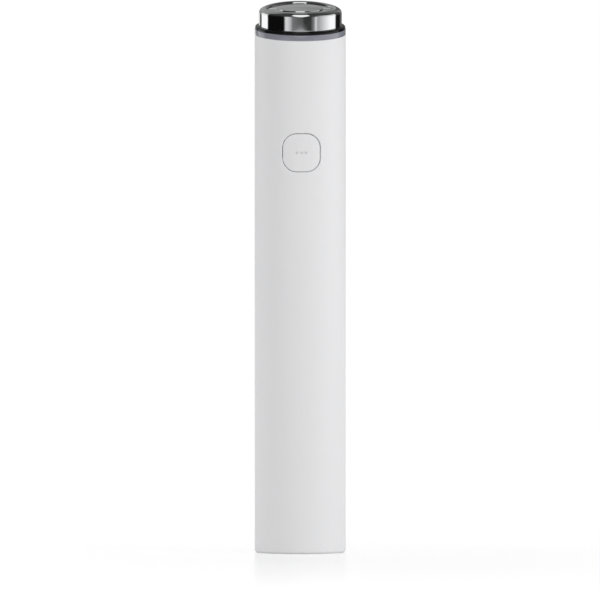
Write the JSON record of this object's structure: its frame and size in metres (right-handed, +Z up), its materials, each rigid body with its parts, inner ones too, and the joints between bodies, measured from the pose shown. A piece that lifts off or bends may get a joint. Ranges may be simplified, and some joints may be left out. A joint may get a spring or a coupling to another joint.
{
  "type": "facial toning device",
  "caption": "Slim round facial toning device with a canted chrome electrode head, light ring, push button and charging port, standing on its flat base.",
  "frame": {"origin": "centre of the flat base, on the axis of the grip", "axes": "+Z up the grip to the head, the button faces -Y, +X to the right seen from the button side"},
  "size_m": [0.025, 0.025, 0.1513],
  "materials": {
    "shell_white": "matt, finely textured moulded plastic",
    "dot_lens": "diffusing translucent plastic",
    "ring_lens": "smoked translucent plastic",
    "collar_black": "polished black plastic",
    "electrode_chrome": "polished chrome plate",
    "insulator_black": "satin moulded plastic",
    "chassis_grey": "plain moulded plastic",
    "carrier_frost": "frosted moulded plastic",
    "board_green": "solder mask on glass epoxy",
    "chip_black": "moulded resin",
    "capacitor_tan": "sintered ceramic with tinned ends",
    "led_resin": "clear resin over phosphor",
    "plated_steel": "nickel-plated steel",
    "cell_can": "drawn metal can",
    "magnet_grey": "sintered ferrite",
    "bush_brass": "turned and gold-flashed",
    "winding_copper": "enamelled copper wire",
    "seal_rubber": "silicone rubber",
    "foam_grey": "closed-cell foam",
    "sleeve_blue": "shrink film",
    "plug_white": "natural nylon",
    "lead_red": "silicone insulation",
    "lead_black": "silicone insulation",
    "lead_blue": "silicone insulation",
    "lead_yellow": "silicone insulation"
  },
  "bodies": {
    "housing": {"body_shell": "shell_white", "bottom_cap": "shell_white", "cap_seal": "seal_rubber", "usb_shell": "plated_steel", "usb_tongue": "chip_black", "usb_gasket": "seal_rubber", "charge_board": "board_green", "charge_leads": "lead_red", "chassis_front": "chassis_grey", "chassis_rear": "chassis_grey", "chassis_screws": "plated_steel", "main_board": "board_green", "board_chips": "chip_black", "board_capacitors": "capacitor_tan", "step_up_coil": "chip_black", "battery_cell": "cell_can", "battery_sleeve": "sleeve_blue", "battery_foam": "foam_grey", "battery_pads": "foam_grey", "battery_tabs": "plated_steel", "battery_leads": "lead_black", "battery_plug": "plug_white", "tact_switch": "chip_black", "switch_boot": "seal_rubber", "status_leds": "led_resin", "motor_can": "plated_steel", "motor_end_cap": "chip_black", "motor_bush": "bush_brass", "motor_magnets": "magnet_grey", "motor_sleeve": "seal_rubber", "motor_leads": "lead_blue", "head_carrier": "carrier_frost", "carrier_screws": "plated_steel", "head_seal": "seal_rubber", "ring_board": "board_green", "ring_leds": "led_resin", "light_ring": "ring_lens", "head_collar": "collar_black", "head_board": "board_green", "head_leads": "lead_yellow", "contact_springs": "bush_brass", "electrode_insulator": "insulator_black", "electrode_inlays": "electrode_chrome", "electrode_cap": "electrode_chrome"},
    "button": {"button_cap": "shell_white", "button_light_guide": "dot_lens", "button_pad": "seal_rubber"},
    "plunger": {"switch_plunger": "plug_white"},
    "rotor": {"motor_shaft": "plated_steel", "motor_armature": "winding_copper", "eccentric_weight": "plated_steel"}
  },
  "joints": [
    {"name": "button_press", "type": "slide", "parent": "housing", "child": "button", "axis": [0, 1, 0], "range_m": [0, 0.00035], "stiffness_N_per_m": 3000},
    {"name": "switch_press", "type": "slide", "parent": "housing", "child": "plunger", "axis": [0, 1, 0], "range_m": [0, 0.0005]},
    {"name": "motor_spin", "type": "hinge", "parent": "housing", "child": "rotor", "pos_m": [0, 0.0032, 0.1], "axis": [0, 0, 1], "continuous": true}
  ],
  "couplings": [
    {"joint": "switch_press", "follows": "button_press", "ratio": 1}
  ]
}
